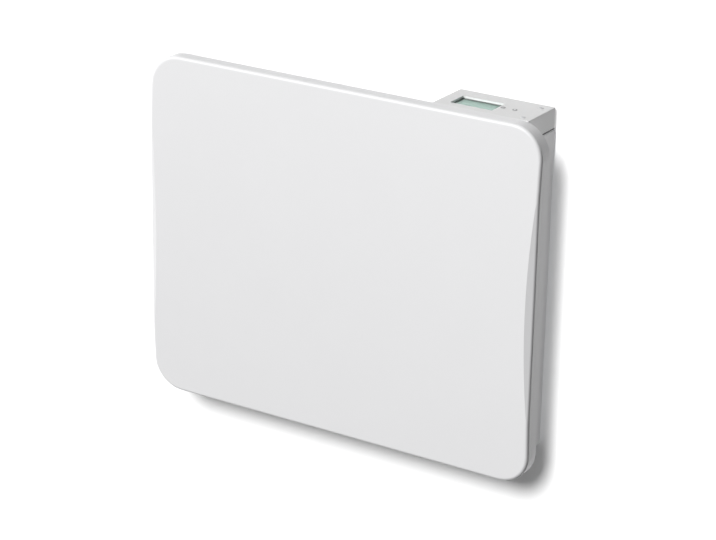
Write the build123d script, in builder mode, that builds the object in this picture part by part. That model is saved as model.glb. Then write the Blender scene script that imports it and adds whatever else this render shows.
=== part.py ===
from build123d import *
from math import radians, sqrt, tan
import os

# Electric ceramic radiator that hangs on a wall bracket. Millimetres.
# X runs to the right as seen from the room, Y runs into the wall, Z is up.
# The origin is the centre of the bracket's four wall screws, on the wall's surface.
# Depths are measured from the wall towards the room, so a depth of 10 lies at Y = -10.

# Front cover, pressed from sheet
cover_width = 550
cover_height = 450
overall_depth = 100
cover_depth = 27
face_bulge = 8.5
corner_radius = 40
edge_radius = 4
chamfer_width = 9.5
chamfer_depth = 4.6
cover_gauge = 1.2
hem_width = 12

# Rear casing, folded from sheet
casing_side_inset = 29.5
casing_top_inset = 26
casing_bottom_inset = 17
casing_corner = 3
casing_gauge = 1
rear_flange = 12
front_flange_inset = 4
slot_width = 5
slot_pitch = 11
slot_end_margin = 13
slot_side_margin = 22

# Rear panel and wall bracket
wall_gap = 5
panel_gauge = 1
panel_inset = 2
bracket_gauge = 1.5
bracket_side_margin = 22
bracket_end_margin = 20
bracket_corner = 12
wall_screw_spacing_x = 220
wall_screw_spacing_z = 180
wall_slot_width = 6
wall_slot_length = 12
hook_spacing_x = 160
hook_spacing_z = 110
hook_width = 14
hook_lip = 9
hook_throat = 1.1
lift_travel = 12
hook_seat = 0.2
hook_side_gap = 1
bumper_radius = 9
bumper_neck = 2.4
bumper_barb = 1.4
bumper_from_side = 60
bumper_from_bottom = 28
bead_length = 150
bead_width = 12
bead_height = 1.2

# Screws
screw_radius = 1.5
screw_gap = 0.1
screw_length = 6
head_radius = 3
head_height = 1.8

# Ceramic core
core_side_gap = 79
core_end_gap = 55
core_stand_off = 30.5
brick_thickness = 11
brick_columns = 3
brick_joint = 0.4
element_radius = 3.25
element_runs = 6
element_groove_gap = 0.2
element_end_gap = 32
element_overhang = 9
cold_end = 20
link_from_end = 4
link_width = 5
link_gauge = 1.5
terminal_radius = 5.5
terminal_length = 16
terminal_stud = 6
channel_gauge = 1
channel_flange = 12
channel_gap = 0.2
leg_gauge = 1.2
leg_width = 20
leg_foot = 14
leg_from_middle = 120
insulation_thickness = 10
reflector_gauge = 0.5
board_end_gap = 8
stand_off_height = 8
stand_off_radius = 6
stand_off_pin = 2
stand_off_cap = 1.5
stand_off_from_edge = 30

# Thermal cutout
cutout_radius = 8
cutout_length = 9
cutout_from_middle = 60
cutout_rise = 14
cutout_blade = 1.2
cutout_blade_length = 6

# Control box on the casing's top right
box_width = 128
box_wall = 2.5
box_floor = 2
box_corner = 2
fascia_thickness = 2.5
fascia_edge = 0.8
fascia_gap = 0.2
fascia_lip = 1.2
fascia_lip_height = 1.5
fascia_lip_gap = 0.15
box_front_gap = 0.3
window_width = 56
window_from_left = 17
window_from_back = 23.5
window_from_front = 11.2
window_corner = 1
lens_thickness = 1.2
lens_rim = 1.2
display_height = 6.6
display_glass = 1.5
display_rim = 1
board_thickness = 1.6
board_gap = 1
display_board_drop = 10.6
post_radius = 3
post_inset = 3.6
power_board_rise = 2
pillar_radius = 2
board_screw_radius = 1.25
board_screw_head = 2.4
board_screw_length = 6
relay_length = 18
relay_width = 10
relay_height = 7.5
relay_from_centre = 30
capacitor_radius = 3.8
capacitor_length = 14
capacitor_from_centre = 6
header_length = 20
header_width = 2.5
header_from_centre = 18

# Keys
key_radius = 3
key_gap = 0.15
key_proud = 0.5
key_collar = 0.6
key_collar_height = 1
key_travel = 0.8
key_free_play = 0.1
stem_radius = 1.2
stem_gap = 0.06
switch_size = 6
switch_height = 3.6
switch_engagement = 1.4
switch_bottom_gap = 0.3
first_key_from_window = 5.3
second_key_from_first = 15.5
pale_keys_from_side = 12.5
pale_keys_from_back = 13.55
pale_keys_from_front = 8.15
dark_keys_from_middle = 4.7

# Wiring, with the duct that it runs in at the casing's right side
duct_from_side = 22.5
duct_depth = 30
grommet_bore = 8
grommet_wall = 1.6
grommet_flange = 2
grommet_lip = 1.2
grommet_gap = 0.1
mains_radius = 3
lead_rise = 40
mains_lead_start = 16
sensor_lead_start = 12
lead_radius = 1.5
sensor_radius = 1.25
mains_offset = 4
lead_offset_x = 2
lead_offset_y = 3.8
sensor_offset = 5.4
block_width = 28
block_height = 25
block_depth = 16
block_from_bottom = 22
block_poles = 3
block_well = 2.5
block_well_depth = 5
clip_gap = 0.2
clip_wall = 1.6
clip_height = 8
clip_stalk = 2
clip_heights = (-60, 60)
sensor_height = 60
sensor_length = 12
sensor_from_side = 6
gland_bore = 4
gland_wall = 3.5
gland_collar = 3
gland_collar_height = 5
gland_thread_length = 12
gland_nut_height = 5
gland_depth = 25
stud_radius = 2
stud_length = 12
stud_from_side = 90
stud_from_bottom = 20

# Depths and edges that follow from the sizes above
cover_rear = overall_depth - cover_depth
face_radius = ((cover_height / 2) ** 2 + face_bulge**2) / (2 * face_bulge)
cover_side = cover_width / 2
cover_top = cover_height / 2
casing_side = cover_side - casing_side_inset
casing_top = cover_top - casing_top_inset
casing_bottom = -cover_top + casing_bottom_inset
casing_height = casing_top - casing_bottom
casing_middle = (casing_top + casing_bottom) / 2
casing_rear = wall_gap + panel_gauge
casing_depth = cover_rear - casing_rear
inner_side = casing_side - casing_gauge
inner_top = casing_top - casing_gauge
inner_bottom = casing_bottom + casing_gauge
panel_half_width = casing_side - panel_inset
panel_half_height = casing_height / 2 - panel_inset

core_rear = casing_rear + core_stand_off
core_middle = core_rear + brick_thickness
core_front = core_middle + brick_thickness
core_side = inner_side - core_side_gap
core_top = inner_top - core_end_gap
core_bottom = inner_bottom + core_end_gap
core_height = core_top - core_bottom
core_centre = (core_top + core_bottom) / 2
brick_width = (2 * core_side - (brick_columns - 1) * brick_joint) / brick_columns
run_pitch = (core_height - 2 * element_end_gap) / (element_runs - 1)
channel_rear = core_rear - channel_gap - channel_gauge
channel_front = core_front + channel_gap + channel_gauge
insulation_rear = casing_rear + stand_off_height
insulation_front = insulation_rear + insulation_thickness
reflector_front = insulation_front + reflector_gauge
board_half_height = core_height / 2 - board_end_gap

box_right = casing_side
box_left = box_right - box_width
box_centre = (box_left + box_right) / 2
box_floor_bottom = casing_top
box_floor_top = box_floor_bottom + box_floor
box_rear = casing_rear
box_front = cover_rear - casing_gauge - box_front_gap
fascia_front = cover_rear - fascia_gap
fascia_top = cover_top
fascia_bottom = fascia_top - fascia_thickness
box_middle = (box_rear + box_front) / 2
box_depth = box_front - box_rear
window_depth = box_depth - window_from_back - window_from_front
window_x = box_left + window_from_left + window_width / 2
window_y = -(box_rear + window_from_back + window_depth / 2)
lens_bottom = fascia_bottom - lens_thickness
display_board_top = fascia_top - display_board_drop
display_board_bottom = display_board_top - board_thickness
power_board_bottom = box_floor_top + power_board_rise
power_board_top = power_board_bottom + board_thickness

first_key_x = window_x + window_width / 2 + first_key_from_window
second_key_x = first_key_x + second_key_from_first
pale_key_x = box_right - pale_keys_from_side
key_spots = {
    "power": (first_key_x, -box_middle - dark_keys_from_middle),
    "mode": (second_key_x, -box_middle - dark_keys_from_middle),
    "plus": (pale_key_x, -box_rear - pale_keys_from_back),
    "minus": (pale_key_x, -box_front + pale_keys_from_front),
}

duct_x = casing_side - duct_from_side
block_bottom = inner_bottom + block_from_bottom
block_top = block_bottom + block_height
block_middle = casing_rear + block_depth / 2

os.makedirs("parts", exist_ok=True)


def upright(depth, height=0):
    """Plane parallel to the wall at a depth, with X to the right and Z up."""
    return Plane(origin=(0, -depth, height), x_dir=(1, 0, 0), z_dir=(0, -1, 0))


def save(piece, label):
    """Label a finished piece and write it."""
    piece.part.label = label
    export_step(piece.part, f"parts/{label}.step")


def cover_form(inset, rear):
    """Solid inside of the cover's skin: inset 0 is the outside, inset cover_gauge the inside."""
    half_width = cover_side - inset
    half_height = cover_top - inset
    radius = edge_radius - inset
    slope = chamfer_depth / chamfer_width
    border = -overall_depth + chamfer_depth + inset * (sqrt(1 + slope**2) - slope)
    reach = 2 * chamfer_width
    with BuildPart() as form:
        with BuildSketch(upright(rear)):
            RectangleRounded(2 * half_width, 2 * half_height, corner_radius - inset)
        extrude(amount=overall_depth + edge_radius - rear)
        # The face is part of one large cylinder whose axis is level
        with BuildSketch(Plane.YZ):
            with Locations((face_radius - overall_depth, 0)):
                Circle(face_radius - inset)
        extrude(amount=cover_side, both=True, mode=Mode.INTERSECT)
        fillet(form.faces().sort_by(Axis.Y)[0].edges(), radius)
        # A flat slope down each side cuts the bulge in a crescent
        with BuildSketch(Plane.XY) as section:
            with BuildLine():
                Polyline(
                    (0, 0),
                    (half_width, 0),
                    (half_width, border),
                    (half_width - reach, border - reach * slope),
                    (0, border - reach * slope),
                    close=True,
                )
            make_face()
            fillet(section.vertices().sort_by_distance((half_width, border, 0))[0], radius)
            mirror(about=Plane.YZ)
        extrude(amount=cover_top, both=True, mode=Mode.INTERSECT)
    return form.part


# Where screws go through the casing's front flange into the hem
cover_screw_side = (cover_side - hem_width + cover_side - front_flange_inset) / 2
cover_screw_top = (cover_top - hem_width + cover_top - front_flange_inset) / 2
cover_screw_row = cover_screw_top - corner_radius
cover_screw_spots = [
    (side * cover_screw_side, row * cover_screw_row) for side in (-1, 1) for row in (-1, 0, 1)
]
cover_screw_spots += [(column * cover_screw_row, -cover_screw_top) for column in (-1, 0, 1)]
cover_screw_spots += [(column * cover_screw_row, cover_screw_top) for column in (-1, 0)]

# Front cover: a deep-drawn pan, open at the back, with a hem turned in
with BuildPart() as front_cover:
    add(cover_form(0, cover_rear))
    add(cover_form(cover_gauge, cover_rear), mode=Mode.SUBTRACT)
    with BuildSketch(upright(cover_rear)):
        RectangleRounded(cover_width, cover_height, corner_radius)
        RectangleRounded(
            cover_width - 2 * hem_width,
            cover_height - 2 * hem_width,
            corner_radius - hem_width,
            mode=Mode.SUBTRACT,
        )
        with Locations(*cover_screw_spots):
            Circle(screw_radius + screw_gap, mode=Mode.SUBTRACT)
    extrude(amount=cover_gauge)
save(front_cover, "front_cover")

# Where screws go through the rear panel into the casing's rear flange
panel_screw_side = casing_side - rear_flange / 2
panel_screw_top = casing_height / 2 - rear_flange / 2
panel_screw_spots = [
    (column * panel_screw_side, row * panel_screw_top) for column in (-1, 1) for row in (-1, 0, 1)
]
panel_screw_spots += [(0, -panel_screw_top), (0, panel_screw_top)]

# Rear casing: a folded box with a flange out to the cover and a flange in to the panel
slot_row_depth = casing_depth - slot_side_margin
outlet_left = -inner_side + slot_end_margin
outlet_right = box_left - slot_end_margin
outlet_count = int((outlet_right - outlet_left) // slot_pitch)
inlet_right = duct_x - slot_side_margin
inlet_count = int((inlet_right - outlet_left) // slot_pitch)
slot_middle = -(casing_rear + casing_depth / 2)
box_screw_x = box_width / 2 - box_wall - post_inset - 2 * post_radius
box_screw_y = box_depth / 2 - box_wall - post_inset

with BuildPart() as rear_casing:
    with BuildSketch(upright(casing_rear, casing_middle)):
        RectangleRounded(2 * casing_side, casing_height, casing_corner)
        Rectangle(2 * inner_side, casing_height - 2 * casing_gauge, mode=Mode.SUBTRACT)
    extrude(amount=casing_depth)
    with BuildSketch(upright(casing_rear, casing_middle)):
        RectangleRounded(2 * casing_side, casing_height, casing_corner)
        Rectangle(
            2 * (casing_side - rear_flange), casing_height - 2 * rear_flange, mode=Mode.SUBTRACT
        )
    extrude(amount=casing_gauge)
    with BuildSketch(upright(cover_rear)):
        RectangleRounded(
            cover_width - 2 * front_flange_inset,
            cover_height - 2 * front_flange_inset,
            corner_radius - front_flange_inset,
        )
        with Locations((0, casing_middle)):
            Rectangle(2 * inner_side, casing_height - 2 * casing_gauge, mode=Mode.SUBTRACT)
    extrude(amount=-casing_gauge)
    # Warm air leaves through slots in the top, beside the control box
    with BuildSketch(Plane.XY.offset(casing_top)):
        with Locations(((outlet_left + outlet_right) / 2, slot_middle)):
            with GridLocations(slot_pitch, 1, outlet_count, 1):
                Rectangle(slot_width, slot_row_depth)
    extrude(amount=-casing_gauge, mode=Mode.SUBTRACT)
    # Cool air enters through slots in the bottom
    with BuildSketch(Plane.XY.offset(casing_bottom)):
        with Locations(((outlet_left + inlet_right) / 2, slot_middle)):
            with GridLocations(slot_pitch, 1, inlet_count, 1):
                Rectangle(slot_width, slot_row_depth)
    extrude(amount=casing_gauge, mode=Mode.SUBTRACT)
    # Round holes for the grommet, the box screws and the gland
    with BuildSketch(Plane.XY.offset(casing_top)):
        with Locations((duct_x, -duct_depth)):
            Circle(grommet_bore + grommet_wall + grommet_gap)
        with Locations((box_centre, -box_middle)):
            with GridLocations(2 * box_screw_x, 2 * box_screw_y, 2, 2):
                Circle(screw_radius + screw_gap)
    extrude(amount=-casing_gauge, mode=Mode.SUBTRACT)
    with BuildSketch(Plane.XY.offset(casing_bottom)):
        with Locations((duct_x, -gland_depth)):
            Circle(gland_bore + gland_wall + screw_gap)
    extrude(amount=casing_gauge, mode=Mode.SUBTRACT)
    with BuildSketch(upright(cover_rear)):
        with Locations(*cover_screw_spots):
            Circle(screw_radius + screw_gap)
    extrude(amount=-casing_gauge, mode=Mode.SUBTRACT)
    with BuildSketch(upright(casing_rear, casing_middle)):
        with Locations(*panel_screw_spots):
            Circle(screw_radius + screw_gap)
    extrude(amount=casing_gauge, mode=Mode.SUBTRACT)
save(rear_casing, "rear_casing")

# Rear panel: a flat sheet with hook slots, two stiffening beads and bumper holes
slot_top = hook_seat
slot_bottom = -bracket_gauge - lift_travel - hook_side_gap
bracket_half_width = wall_screw_spacing_x / 2 + bracket_side_margin
bracket_half_height = wall_screw_spacing_z / 2 + bracket_end_margin
bead_x = (bracket_half_width + panel_half_width) / 2
bumper_x = panel_half_width - bumper_from_side
bumper_z = casing_bottom + bumper_from_bottom

with BuildPart() as rear_panel:
    with BuildSketch(upright(wall_gap, casing_middle)):
        RectangleRounded(2 * panel_half_width, 2 * panel_half_height, casing_corner)
        with Locations(*panel_screw_spots):
            Circle(screw_radius + screw_gap, mode=Mode.SUBTRACT)
    extrude(amount=panel_gauge)
    with BuildSketch(upright(wall_gap)):
        with Locations((0, (slot_top + slot_bottom) / 2)):
            with GridLocations(hook_spacing_x, hook_spacing_z, 2, 2):
                Rectangle(hook_width + 2 * hook_side_gap, slot_top - slot_bottom)
        with Locations((-bumper_x, bumper_z), (bumper_x, bumper_z)):
            Circle(bumper_neck + screw_gap)
    extrude(amount=panel_gauge, mode=Mode.SUBTRACT)
    with BuildSketch(upright(wall_gap, casing_middle)):
        with GridLocations(2 * bead_x, 1, 2, 1):
            SlotOverall(bead_length, bead_width, rotation=90)
    extrude(amount=-bead_height)
    with BuildSketch(upright(casing_rear, casing_middle)):
        with GridLocations(2 * bead_x, 1, 2, 1):
            SlotOverall(
                bead_length - 2 * panel_gauge, bead_width - 2 * panel_gauge, rotation=90
            )
    extrude(amount=-bead_height, mode=Mode.SUBTRACT)
save(rear_panel, "rear_panel")

# Wall bracket: a plate with slotted screw holes and four hooks bent out of it
hook_front = casing_rear + hook_throat + bracket_gauge
hook_cut = hook_front - bracket_gauge + hook_lip

with BuildPart() as wall_bracket:
    with BuildSketch(upright(0)):
        RectangleRounded(2 * bracket_half_width, 2 * bracket_half_height, bracket_corner)
        with GridLocations(wall_screw_spacing_x, wall_screw_spacing_z, 2, 2):
            SlotOverall(wall_slot_length, wall_slot_width, mode=Mode.SUBTRACT)
        with Locations((0, -bracket_gauge - hook_cut / 2)):
            with GridLocations(hook_spacing_x, hook_spacing_z, 2, 2):
                Rectangle(hook_width + hook_side_gap, hook_cut, mode=Mode.SUBTRACT)
    extrude(amount=bracket_gauge)
    for column in (-1, 1):
        for row in (-1, 1):
            foot = row * hook_spacing_z / 2
            with BuildSketch(Plane.YZ.offset(column * hook_spacing_x / 2 - hook_width / 2)):
                with BuildLine():
                    Polyline(
                        (0, foot - bracket_gauge),
                        (-hook_front, foot - bracket_gauge),
                        (-hook_front, foot + hook_lip),
                        (-hook_front + bracket_gauge, foot + hook_lip),
                        (-hook_front + bracket_gauge, foot),
                        (0, foot),
                        close=True,
                    )
                make_face()
            extrude(amount=hook_width)
save(wall_bracket, "wall_bracket")

# Wall bumpers: rubber buttons pushed into the panel, which keep its foot off the wall
with BuildPart() as wall_bumpers:
    for depth, radius, length in (
        (0, bumper_radius, wall_gap),
        (wall_gap, bumper_neck, panel_gauge),
        (casing_rear, bumper_neck + bumper_barb, bumper_barb),
    ):
        with BuildSketch(upright(depth)):
            with Locations((-bumper_x, bumper_z), (bumper_x, bumper_z)):
                Circle(radius)
        extrude(amount=length)
save(wall_bumpers, "wall_bumpers")

# Screws that hold the cover to the casing, put in from behind
with BuildPart() as cover_screws:
    with BuildSketch(upright(cover_rear - casing_gauge)):
        with Locations(*cover_screw_spots):
            Circle(screw_radius)
    extrude(amount=screw_length)
    with BuildSketch(upright(cover_rear - casing_gauge)):
        with Locations(*cover_screw_spots):
            Circle(head_radius)
    extrude(amount=-head_height)
save(cover_screws, "cover_screws")

# Screws that hold the rear panel to the casing's rear flange
with BuildPart() as panel_screws:
    with BuildSketch(upright(wall_gap, casing_middle)):
        with Locations(*panel_screw_spots):
            Circle(screw_radius)
    extrude(amount=screw_length)
    with BuildSketch(upright(wall_gap, casing_middle)):
        with Locations(*panel_screw_spots):
            Circle(head_radius)
    extrude(amount=-head_height)
save(panel_screws, "panel_screws")

# Ceramic bricks: two layers whose half-round grooves close around the element
run_heights = [(run - (element_runs - 1) / 2) * run_pitch for run in range(element_runs)]

for label, depth in (("rear_bricks", core_rear), ("front_bricks", core_middle)):
    with BuildPart() as bricks:
        with BuildSketch(upright(depth, core_centre)):
            with GridLocations(brick_width + brick_joint, 1, brick_columns, 1):
                Rectangle(brick_width, core_height)
        extrude(amount=brick_thickness)
        with BuildSketch(Plane.YZ.offset(-core_side)):
            with Locations(*[(-core_middle, core_centre + height) for height in run_heights]):
                Circle(element_radius + element_groove_gap)
        extrude(amount=2 * core_side, mode=Mode.SUBTRACT)
    save(bricks, label)

# Heating element: straight sheathed rods in the grooves, joined in a row by flat links
turn_x = core_side + element_overhang
element_end = turn_x + cold_end

with BuildPart() as heating_element:
    for run, height in enumerate(run_heights):
        rod_end = element_end if run in (0, element_runs - 1) else turn_x
        with BuildSketch(Plane.YZ.offset(-turn_x)):
            with Locations((-core_middle, core_centre + height)):
                Circle(element_radius)
        extrude(amount=turn_x + rod_end)
    for run, height in enumerate(run_heights[:-1]):
        link_x = (turn_x - link_from_end) * (-1 if run % 2 == 0 else 1)
        with BuildSketch(Plane.YZ.offset(link_x - link_gauge / 2)):
            with Locations((-core_middle, core_centre + height + run_pitch / 2)):
                Rectangle(link_width, run_pitch)
        extrude(amount=link_gauge)
save(heating_element, "heating_element")

# Element terminals: a ceramic collar and a stud on each end
terminal_spots = [
    (-core_middle, core_centre + run_heights[0]),
    (-core_middle, core_centre + run_heights[-1]),
]
with BuildPart() as element_terminals:
    with BuildSketch(Plane.YZ.offset(element_end)):
        with Locations(*terminal_spots):
            Circle(terminal_radius)
    extrude(amount=terminal_length - terminal_stud)
    with BuildSketch(Plane.YZ.offset(element_end)):
        with Locations(*terminal_spots):
            Circle(stud_radius)
    extrude(amount=terminal_length)
save(element_terminals, "element_terminals")

# Channels that grip the bricks' top and bottom edges
for label, edge, way in (
    ("core_channel_top", core_top, 1),
    ("core_channel_bottom", core_bottom, -1),
):
    inner = edge + way * channel_gap
    outer = inner + way * channel_gauge
    lip = outer - way * channel_flange
    with BuildPart() as channel:
        with BuildSketch(Plane.YZ.offset(-core_side)):
            with BuildLine():
                Polyline(
                    (-channel_rear, lip),
                    (-channel_rear, outer),
                    (-channel_front, outer),
                    (-channel_front, lip),
                    (-channel_front + channel_gauge, lip),
                    (-channel_front + channel_gauge, inner),
                    (-channel_rear - channel_gauge, inner),
                    (-channel_rear - channel_gauge, lip),
                    close=True,
                )
            make_face()
        extrude(amount=2 * core_side)
    save(channel, label)

# Legs that carry the channels on the rear panel
with BuildPart() as core_legs:
    for edge, way in ((core_top, 1), (core_bottom, -1)):
        level = edge + way * (channel_gap + channel_gauge)
        for side in (-1, 1):
            with BuildSketch(Plane.YZ.offset(side * leg_from_middle - leg_width / 2)):
                with BuildLine():
                    Polyline(
                        (-casing_rear, level + way * leg_foot),
                        (-casing_rear - leg_gauge, level + way * leg_foot),
                        (-casing_rear - leg_gauge, level + way * leg_gauge),
                        (-channel_rear, level + way * leg_gauge),
                        (-channel_rear, level - way * channel_flange),
                        (-channel_rear + leg_gauge, level - way * channel_flange),
                        (-channel_rear + leg_gauge, level),
                        (-casing_rear, level),
                        close=True,
                    )
                make_face()
            extrude(amount=leg_width)
save(core_legs, "core_legs")

# Insulation board and reflector sheet behind the core, on four stand-offs
pin_x = core_side - stand_off_from_edge
pin_z = board_half_height - stand_off_from_edge

for label, depth, thickness in (
    ("insulation_board", insulation_rear, insulation_thickness),
    ("reflector_sheet", insulation_front, reflector_gauge),
):
    with BuildPart() as board:
        with BuildSketch(upright(depth, core_centre)):
            Rectangle(2 * core_side, 2 * board_half_height)
            with GridLocations(2 * pin_x, 2 * pin_z, 2, 2):
                Circle(stand_off_pin + screw_gap, mode=Mode.SUBTRACT)
        extrude(amount=thickness)
    save(board, label)

with BuildPart() as board_stand_offs:
    for depth, radius, length in (
        (casing_rear, stand_off_radius, stand_off_height),
        (insulation_rear, stand_off_pin, insulation_thickness + reflector_gauge),
        (reflector_front, stand_off_radius, stand_off_cap),
    ):
        with BuildSketch(upright(depth, core_centre)):
            with GridLocations(2 * pin_x, 2 * pin_z, 2, 2):
                Circle(radius)
        extrude(amount=length)
save(board_stand_offs, "board_stand_offs")

# Thermal cutout: a disc thermostat on an angle bracket above the core
shelf = core_top + channel_gap + channel_gauge
cutout_plate = core_middle + cutout_radius

with BuildPart() as cutout_bracket:
    with BuildSketch(Plane.YZ.offset(cutout_from_middle - cutout_radius)):
        with BuildLine():
            Polyline(
                (-core_rear, shelf),
                (-cutout_plate - leg_gauge, shelf),
                (-cutout_plate - leg_gauge, shelf + cutout_rise + cutout_radius),
                (-cutout_plate, shelf + cutout_rise + cutout_radius),
                (-cutout_plate, shelf + leg_gauge),
                (-core_rear, shelf + leg_gauge),
                close=True,
            )
        make_face()
    extrude(amount=2 * cutout_radius)
save(cutout_bracket, "cutout_bracket")

with BuildPart() as thermal_cutout:
    with BuildSketch(upright(cutout_plate, shelf + cutout_rise)):
        with Locations((cutout_from_middle, 0)):
            Circle(cutout_radius)
    extrude(amount=-cutout_length)
    with BuildSketch(upright(cutout_plate - cutout_length, shelf + cutout_rise)):
        with Locations((cutout_from_middle, 0)):
            with GridLocations(cutout_radius, 1, 2, 1):
                Rectangle(cutout_blade, 4 * cutout_blade)
    extrude(amount=-cutout_blade_length)
save(thermal_cutout, "thermal_cutout")

# Control body: an open-topped box with posts for the boards
post_x = box_width / 2 - box_wall - post_inset
post_y = box_depth / 2 - box_wall - post_inset
power_board_width = box_width - 2 * (box_wall + post_inset + post_radius + board_gap)
board_depth = box_depth - 2 * (box_wall + board_gap)
pillar_x = box_screw_x - head_radius - pillar_radius - board_gap
pillar_y = board_depth / 2 - pillar_radius

with BuildPart() as control_body:
    with BuildSketch(Plane.XY.offset(box_floor_bottom)):
        with Locations((box_centre, -box_middle)):
            RectangleRounded(box_width, box_depth, box_corner)
    extrude(amount=fascia_bottom - box_floor_bottom)
    with BuildSketch(Plane.XY.offset(box_floor_top)):
        with Locations((box_centre, -box_middle)):
            Rectangle(box_width - 2 * box_wall, box_depth - 2 * box_wall)
    extrude(amount=fascia_bottom - box_floor_top, mode=Mode.SUBTRACT)
    with BuildSketch(Plane.XY.offset(box_floor_top)):
        with Locations((box_centre, -box_middle)):
            with GridLocations(2 * post_x, 2 * post_y, 2, 2):
                Circle(post_radius)
    extrude(amount=display_board_bottom - box_floor_top)
    with BuildSketch(Plane.XY.offset(box_floor_top)):
        with Locations((box_centre, -box_middle)):
            with GridLocations(2 * pillar_x, 2 * pillar_y, 2, 2):
                Circle(pillar_radius)
    extrude(amount=power_board_rise)
    with BuildSketch(Plane.XY.offset(display_board_bottom)):
        with Locations((box_centre, -box_middle)):
            with GridLocations(2 * post_x, 2 * post_y, 2, 2):
                Circle(board_screw_radius + screw_gap)
    extrude(amount=-board_screw_length, mode=Mode.SUBTRACT)
    with BuildSketch(Plane.XY.offset(box_floor_bottom)):
        with Locations((duct_x, -duct_depth)):
            Circle(grommet_bore + grommet_wall + grommet_gap)
        with Locations((box_centre, -box_middle)):
            with GridLocations(2 * box_screw_x, 2 * box_screw_y, 2, 2):
                Circle(screw_radius + screw_gap)
    extrude(amount=box_floor, mode=Mode.SUBTRACT)
save(control_body, "control_body")

# Screws that hold the control body down on the casing
with BuildPart() as box_screws:
    with BuildSketch(Plane.XY.offset(box_floor_top)):
        with Locations((box_centre, -box_middle)):
            with GridLocations(2 * box_screw_x, 2 * box_screw_y, 2, 2):
                Circle(head_radius)
    extrude(amount=head_height)
    with BuildSketch(Plane.XY.offset(box_floor_top)):
        with Locations((box_centre, -box_middle)):
            with GridLocations(2 * box_screw_x, 2 * box_screw_y, 2, 2):
                Circle(screw_radius)
    extrude(amount=-screw_length)
save(box_screws, "box_screws")

# Control fascia: the box's lid, with the display window and the key holes
fascia_centre_y = -(box_rear + fascia_front) / 2

with BuildPart() as control_fascia:
    with BuildSketch(Plane.XY.offset(fascia_bottom)):
        with Locations((box_centre, fascia_centre_y)):
            RectangleRounded(box_width, fascia_front - box_rear, box_corner)
    extrude(amount=fascia_thickness)
    fillet(control_fascia.faces().sort_by(Axis.Z)[-1].edges(), fascia_edge)
    with BuildSketch(Plane.XY.offset(fascia_bottom)):
        with Locations((box_centre, -box_middle)):
            Rectangle(
                box_width - 2 * (box_wall + fascia_lip_gap),
                box_depth - 2 * (box_wall + fascia_lip_gap),
            )
            Rectangle(
                box_width - 2 * (box_wall + fascia_lip_gap + fascia_lip),
                box_depth - 2 * (box_wall + fascia_lip_gap + fascia_lip),
                mode=Mode.SUBTRACT,
            )
    extrude(amount=-fascia_lip_height)
    with BuildSketch(Plane.XY.offset(fascia_bottom)):
        with Locations((window_x, window_y)):
            RectangleRounded(window_width, window_depth, window_corner)
        with Locations(*key_spots.values()):
            Circle(key_radius + key_gap)
    extrude(amount=fascia_thickness, mode=Mode.SUBTRACT)
save(control_fascia, "control_fascia")

# Display window: a clear pane under the opening
with BuildPart() as display_window:
    with BuildSketch(Plane.XY.offset(lens_bottom)):
        with Locations((window_x, window_y)):
            Rectangle(window_width + 2 * lens_rim, window_depth + 2 * lens_rim)
    extrude(amount=lens_thickness)
save(display_window, "display_window")

# Display module: a frame on the board with its glass on top
with BuildPart() as display_module:
    with BuildSketch(Plane.XY.offset(display_board_top)):
        with Locations((window_x, window_y)):
            Rectangle(window_width + 2 * display_rim, window_depth + 2 * display_rim)
    extrude(amount=display_height - display_glass)
    with BuildSketch(Plane.XY.offset(display_board_top + display_height - display_glass)):
        with Locations((window_x, window_y)):
            Rectangle(window_width, window_depth)
    extrude(amount=display_glass)
save(display_module, "display_module")

# Display board on the posts, with its screws
with BuildPart() as display_board:
    with BuildSketch(Plane.XY.offset(display_board_bottom)):
        with Locations((box_centre, -box_middle)):
            Rectangle(box_width - 2 * (box_wall + board_gap), board_depth)
            with GridLocations(2 * post_x, 2 * post_y, 2, 2):
                Circle(board_screw_radius + screw_gap, mode=Mode.SUBTRACT)
    extrude(amount=board_thickness)
save(display_board, "display_board")

with BuildPart() as board_screws:
    with BuildSketch(Plane.XY.offset(display_board_top)):
        with Locations((box_centre, -box_middle)):
            with GridLocations(2 * post_x, 2 * post_y, 2, 2):
                Circle(board_screw_head)
    extrude(amount=head_height)
    with BuildSketch(Plane.XY.offset(display_board_top)):
        with Locations((box_centre, -box_middle)):
            with GridLocations(2 * post_x, 2 * post_y, 2, 2):
                Circle(board_screw_radius)
    extrude(amount=-board_screw_length)
save(board_screws, "board_screws")

# Tactile switches under the keys
switch_top = display_board_top + switch_height
stem_bottom = switch_top - switch_engagement

with BuildPart() as tactile_switches:
    with BuildSketch(Plane.XY.offset(display_board_top)):
        with Locations(*key_spots.values()):
            Rectangle(switch_size, switch_size)
    extrude(amount=switch_height)
    with BuildSketch(Plane.XY.offset(switch_top)):
        with Locations(*key_spots.values()):
            Circle(stem_radius + stem_gap)
    extrude(
        amount=-(switch_engagement + key_travel + switch_bottom_gap), mode=Mode.SUBTRACT
    )
save(tactile_switches, "tactile_switches")

# Keys: a cap in the fascia, a collar that keeps it in, and a stem down to its switch
collar_top = fascia_bottom - key_free_play

for label, spot in key_spots.items():
    with BuildPart() as key:
        for level, radius, height in (
            (stem_bottom, stem_radius, collar_top - stem_bottom),
            (collar_top - key_collar_height, key_radius + key_collar, key_collar_height),
            (collar_top, key_radius, fascia_top + key_proud - collar_top),
        ):
            with BuildSketch(Plane.XY.offset(level)):
                with Locations(spot):
                    Circle(radius)
            extrude(amount=height)
        chamfer(key.faces().sort_by(Axis.Z)[-1].edges(), key_proud / 2)
    save(key, f"key_{label}")

# Power board on its pillars, with a relay, a capacitor and the header to the display board
with BuildPart() as power_board:
    with BuildSketch(Plane.XY.offset(power_board_bottom)):
        with Locations((box_centre, -box_middle)):
            Rectangle(power_board_width, board_depth)
    extrude(amount=board_thickness)
save(power_board, "power_board")

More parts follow.
